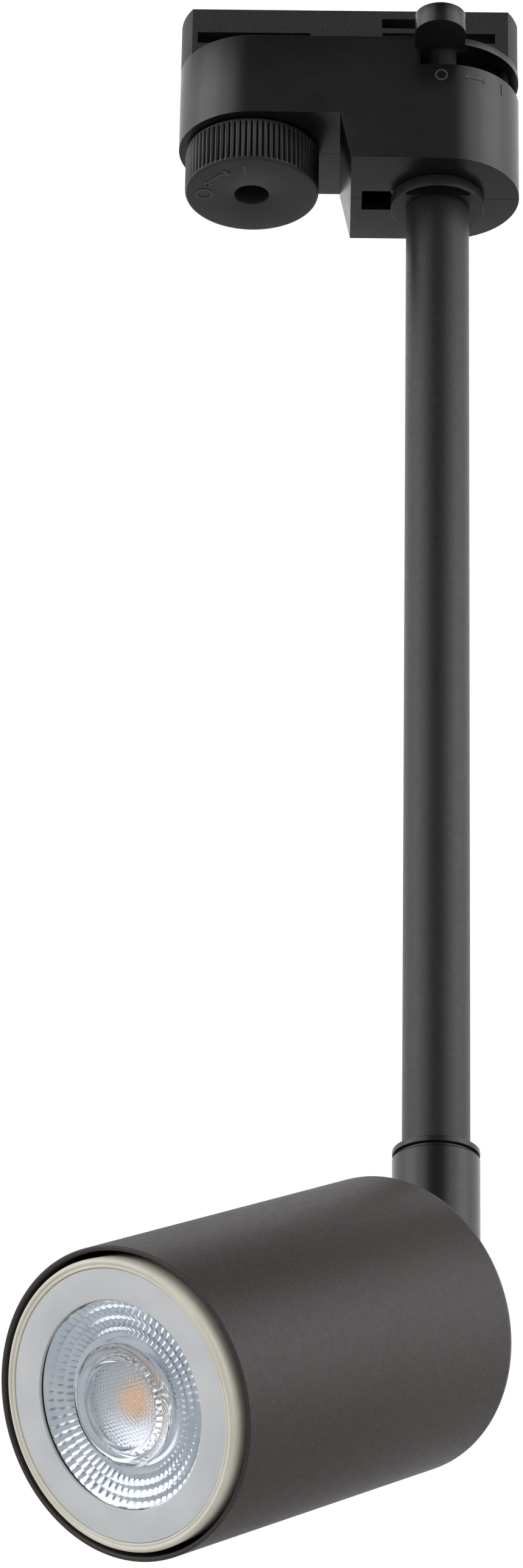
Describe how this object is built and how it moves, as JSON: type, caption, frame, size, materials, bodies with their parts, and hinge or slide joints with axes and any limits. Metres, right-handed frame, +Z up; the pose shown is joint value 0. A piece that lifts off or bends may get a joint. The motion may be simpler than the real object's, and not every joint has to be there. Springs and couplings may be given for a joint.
{
  "type": "track spotlight",
  "caption": "Track adapter with lock knob and contact lever, a long drop rod, and a swivelling, tilting round head around a reflector lamp.",
  "frame": {"origin": "middle of the insert bar's top face, on the rod's axis", "axes": "+X along the track away from the lock knob, -Y the contact lever's side, +Z up into the track"},
  "size_m": [0.0919, 0.0951, 0.3428],
  "materials": {
    "black_plastic": "satin moulded",
    "knob_plastic": "satin moulded, fine ribs",
    "black_coat": "fine-grained powder coat",
    "head_coat": "fine-grained powder coat",
    "steel": "zinc plated",
    "copper": "rolled copper",
    "brass": "machined",
    "ceramic": "unglazed ceramic",
    "white_plastic": "moulded",
    "lamp_shell": "translucent cream",
    "clear_optic": "clear, frosted towards the rim",
    "mirror_coat": "vacuum metallised",
    "phosphor": "phosphor coat",
    "board_white": "white solder mask",
    "board_green": "green solder mask",
    "nylon": "natural nylon",
    "wire_brown": "insulation",
    "wire_blue": "insulation",
    "wire_green": "insulation"
  },
  "bodies": {
    "adapter": {"adapter_front_shell": "black_plastic", "adapter_rear_shell": "black_plastic", "shell_screw_1": "steel", "shell_screw_2": "steel", "shell_screw_3": "steel", "earth_contact": "copper", "rod_boss": "black_coat", "rod_washer": "steel", "rod_nut": "brass", "rod_nipple": "steel", "rod_tube": "black_coat", "collar_ring": "black_coat", "live_wire": "wire_brown", "neutral_wire": "wire_blue", "earth_wire": "wire_green"},
    "lock": {"lock_knob": "knob_plastic", "lock_knob_screw": "black_coat", "lock_spindle": "knob_plastic", "lock_plate": "black_coat"},
    "contacts": {"contact_lever": "black_plastic", "contact_rotor": "white_plastic", "neutral_contact": "copper", "live_contact": "copper"},
    "swivel": {"swivel_sleeve": "black_coat", "swivel_nut": "brass", "tilt_screw": "steel", "tilt_nut": "steel", "friction_washer_left": "nylon", "friction_washer_right": "nylon"},
    "head": {"head_tongue": "black_coat", "head_nut": "brass", "head_housing": "head_coat", "holder_bracket": "steel", "holder_screw_left": "steel", "holder_screw_right": "steel", "lamp_holder": "ceramic", "lamp_lead_live": "wire_brown", "lamp_lead_neutral": "wire_blue"},
    "lamp": {"lamp_base": "white_plastic", "lamp_pin_1": "steel", "lamp_pin_2": "steel", "lamp_shell": "lamp_shell", "lamp_driver_board": "board_green", "led_board": "board_white", "led_emitter": "phosphor", "lamp_reflector": "mirror_coat", "lamp_lens": "clear_optic"}
  },
  "joints": [
    {"name": "lock_turn", "type": "hinge", "parent": "adapter", "child": "lock", "pos_m": [-0.03745, 0, -0.02955], "axis": [0, 0, 1], "range_deg": [0, 90]},
    {"name": "contact_turn", "type": "hinge", "parent": "adapter", "child": "contacts", "pos_m": [0, 0, -0.0141], "axis": [0, 0, 1], "range_deg": [0, 90]},
    {"name": "head_swivel", "type": "hinge", "parent": "adapter", "child": "swivel", "pos_m": [0, 0, -0.24902], "axis": [0, 0, 1], "range_deg": [-175, 175]},
    {"name": "head_tilt", "type": "hinge", "parent": "swivel", "child": "head", "pos_m": [0, 0, -0.2783], "axis": [0.7433, -0.669, 0], "range_deg": [-26.65, 63.35]},
    {"name": "lamp_twist", "type": "hinge", "parent": "head", "child": "lamp", "pos_m": [0, 0, -0.2783], "axis": [-0.5979, -0.6643, -0.4485], "range_deg": [0, 30]}
  ]
}
